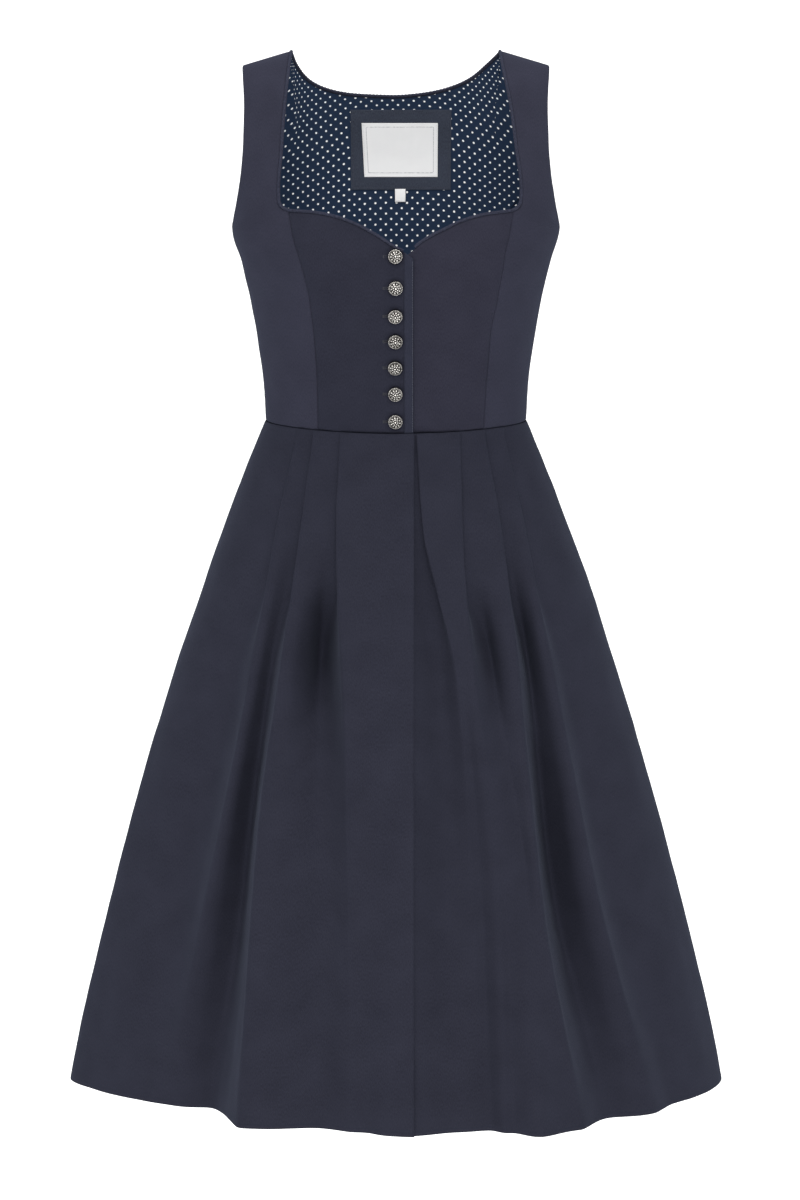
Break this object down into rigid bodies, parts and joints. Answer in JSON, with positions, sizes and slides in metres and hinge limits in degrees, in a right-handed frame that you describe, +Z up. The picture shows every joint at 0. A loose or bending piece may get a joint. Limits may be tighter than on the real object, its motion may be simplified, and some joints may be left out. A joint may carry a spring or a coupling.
{
  "type": "sleeveless dirndl dress",
  "caption": "Sleeveless knee-length dirndl in worn form: panelled bodice with a corded heart neckline, a buttoned front closing and a pleated flared skirt.",
  "frame": {"origin": "midway between the two shoulder straps, at the top of the shoulder seams, where the wearer's shoulders hold the dress up", "axes": "+Z up, -Y towards the front with the buttons, +X towards the wearer's left"},
  "size_m": [0.661, 0.4577, 1.0341],
  "materials": {
    "navy_cloth": "matt twill weave in dark navy with a faint violet cast",
    "skirt_navy": "matt twill weave in dark navy",
    "dotted_lining": "fine plain cotton, navy with small white dots",
    "dark_cord": "bias-cut cloth over a cord",
    "white_ribbon": "woven satin ribbon, bare",
    "old_silver": "cast metal with a darkened old-silver plating"
  },
  "bodies": {
    "root": {"centre_front_right": "navy_cloth", "centre_front_left": "navy_cloth", "side_front_right": "navy_cloth", "side_front_left": "navy_cloth", "back": "navy_cloth", "side_back_right": "navy_cloth", "side_back_left": "navy_cloth", "placket": "navy_cloth", "label_patch": "navy_cloth", "back_lining": "dotted_lining", "neck_piping_right": "dark_cord", "neck_piping_left": "dark_cord", "neck_piping_back": "dark_cord", "label": "white_ribbon", "size_tag": "white_ribbon", "skirt_front_right": "skirt_navy", "skirt_front_left": "skirt_navy", "skirt_back": "skirt_navy", "button_1": "old_silver", "button_2": "old_silver", "button_3": "old_silver", "button_4": "old_silver", "button_5": "old_silver", "button_6": "old_silver", "button_7": "old_silver"}
  },
  "joints": []
}
